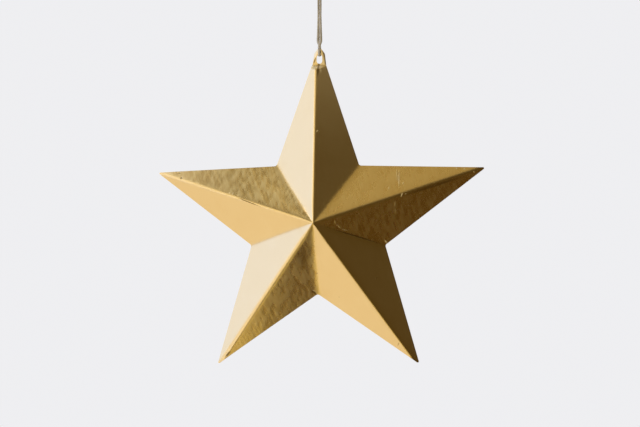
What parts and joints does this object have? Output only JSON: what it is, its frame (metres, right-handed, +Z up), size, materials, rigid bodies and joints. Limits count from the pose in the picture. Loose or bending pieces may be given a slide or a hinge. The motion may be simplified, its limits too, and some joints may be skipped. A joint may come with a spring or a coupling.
{
  "type": "folded paper star",
  "caption": "Folded card star with gold-faced facets rising to a raised centre, open behind, hung by a doubled string through its pressed top tip.",
  "frame": {"origin": "where a hook bears, at the top inside the hanging loop", "axes": "+Z up along the string, the star's raised face towards -Y, +X to the right seen from the front"},
  "size_m": [0.1491, 0.0253, 0.1928],
  "materials": {
    "gold_card": "satin",
    "string": "matte"
  },
  "bodies": {
    "root": {"folded_star": "gold_card", "front_strand": "string", "back_strand": "string", "top_knot": "string", "hanging_loop": "string"}
  },
  "joints": []
}
